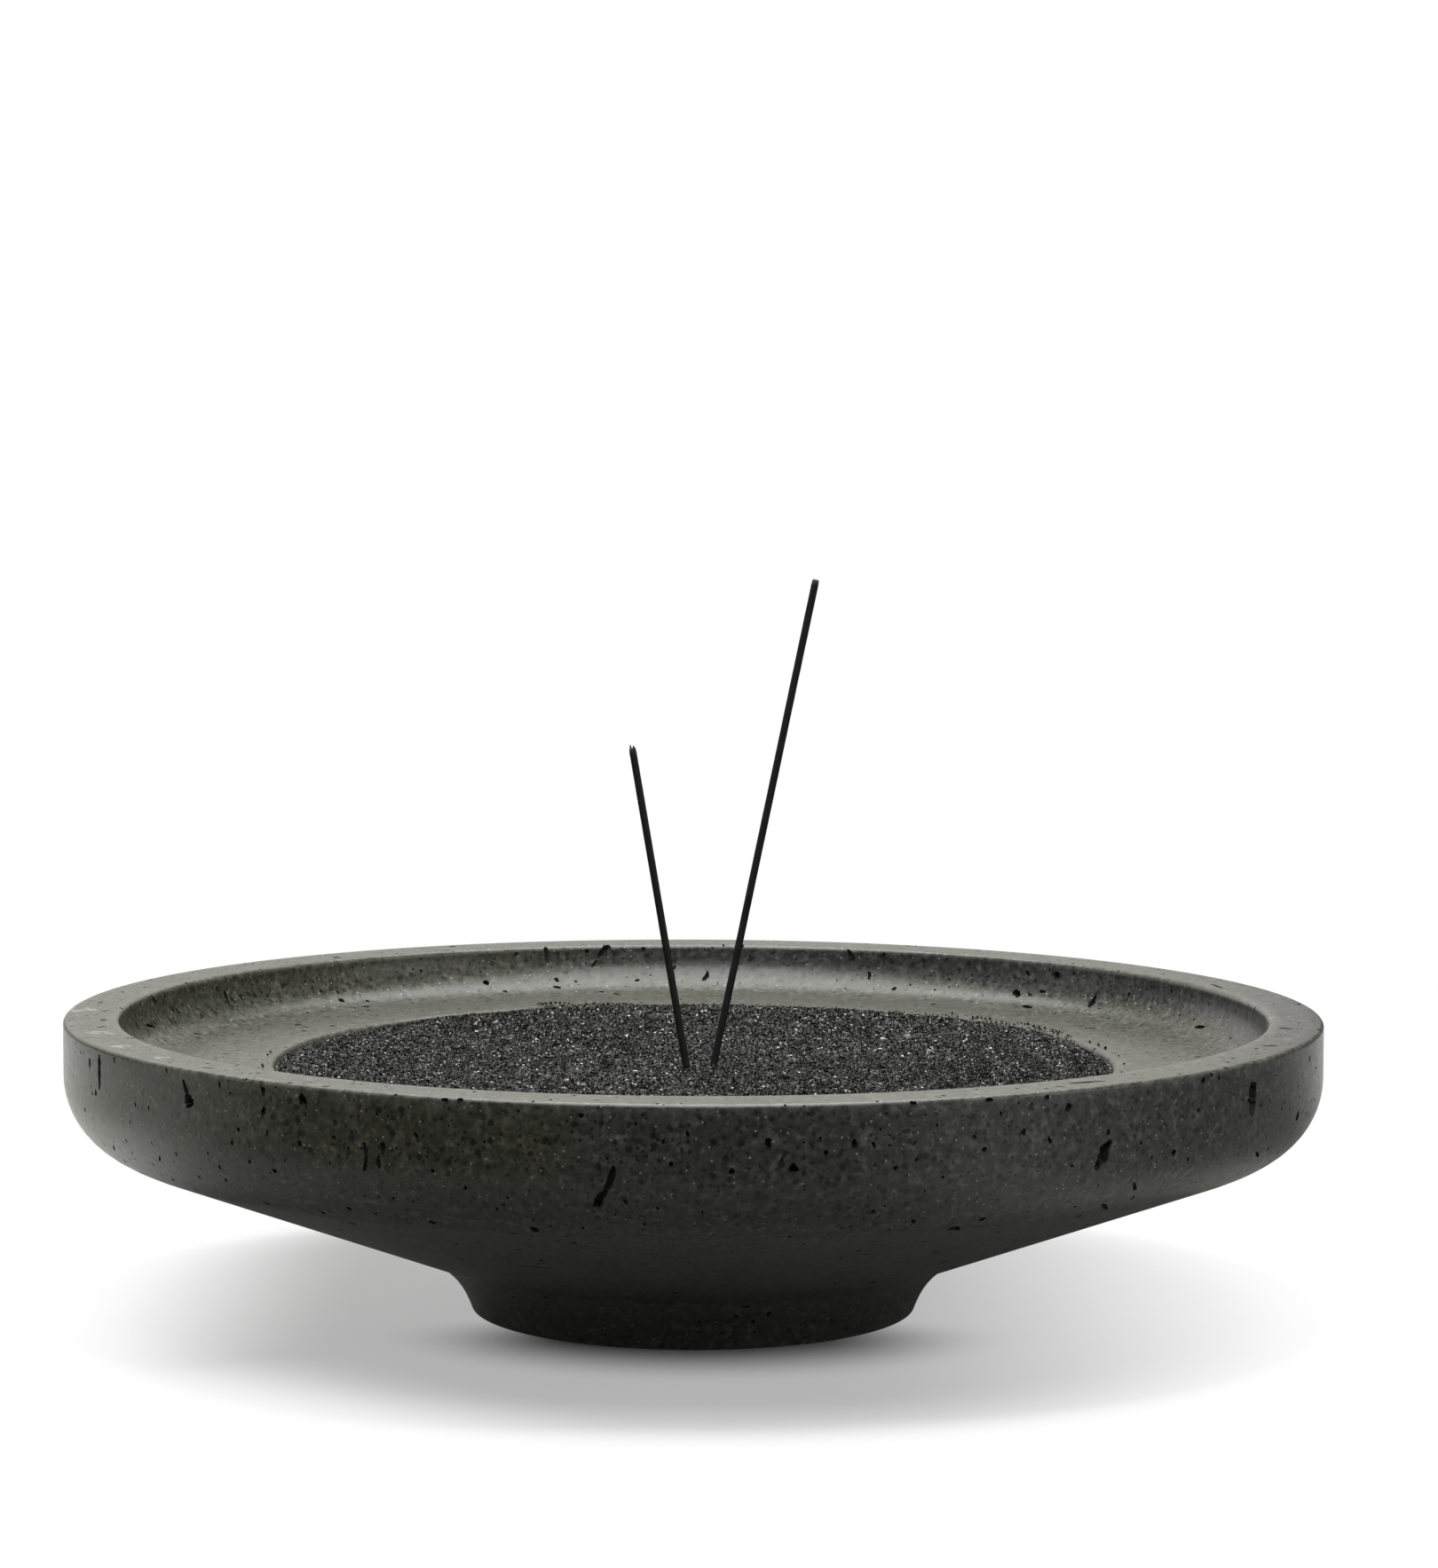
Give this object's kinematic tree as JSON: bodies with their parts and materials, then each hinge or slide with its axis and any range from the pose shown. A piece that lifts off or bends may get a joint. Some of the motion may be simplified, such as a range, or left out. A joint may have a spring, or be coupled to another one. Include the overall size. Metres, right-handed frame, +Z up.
{
  "type": "incense burner",
  "caption": "Wide shallow stone bowl on a flared foot, with a flat rim, a coved dish and a well of black sand that holds incense sticks upright while they burn.",
  "frame": {"origin": "centre of the foot's underside, on the table", "axes": "+Z up along the bowl's axis, +X to the right of a viewer who sees the long stick lean right"},
  "size_m": [0.32, 0.32, 0.1872],
  "materials": {
    "stone": "satin",
    "sand": "matte",
    "incense": "matte",
    "ash": "matte",
    "char": "matte"
  },
  "bodies": {
    "bowl": {"stone_bowl": "stone", "sand_bed": "sand", "loose_sand_grains": "sand"},
    "long_stick": {"long_incense_stick": "incense", "long_stick_ash_cap": "ash"},
    "short_stick": {"short_incense_stick": "incense", "short_stick_charred_tip": "char"}
  },
  "joints": [
    {"name": "long_stick_pull", "type": "slide", "parent": "bowl", "child": "long_stick", "axis": [0.2011, 0, 0.9796], "range_m": [0, 0.06]},
    {"name": "short_stick_pull", "type": "slide", "parent": "bowl", "child": "short_stick", "axis": [-0.1697, 0, 0.9855], "range_m": [0, 0.06]}
  ]
}
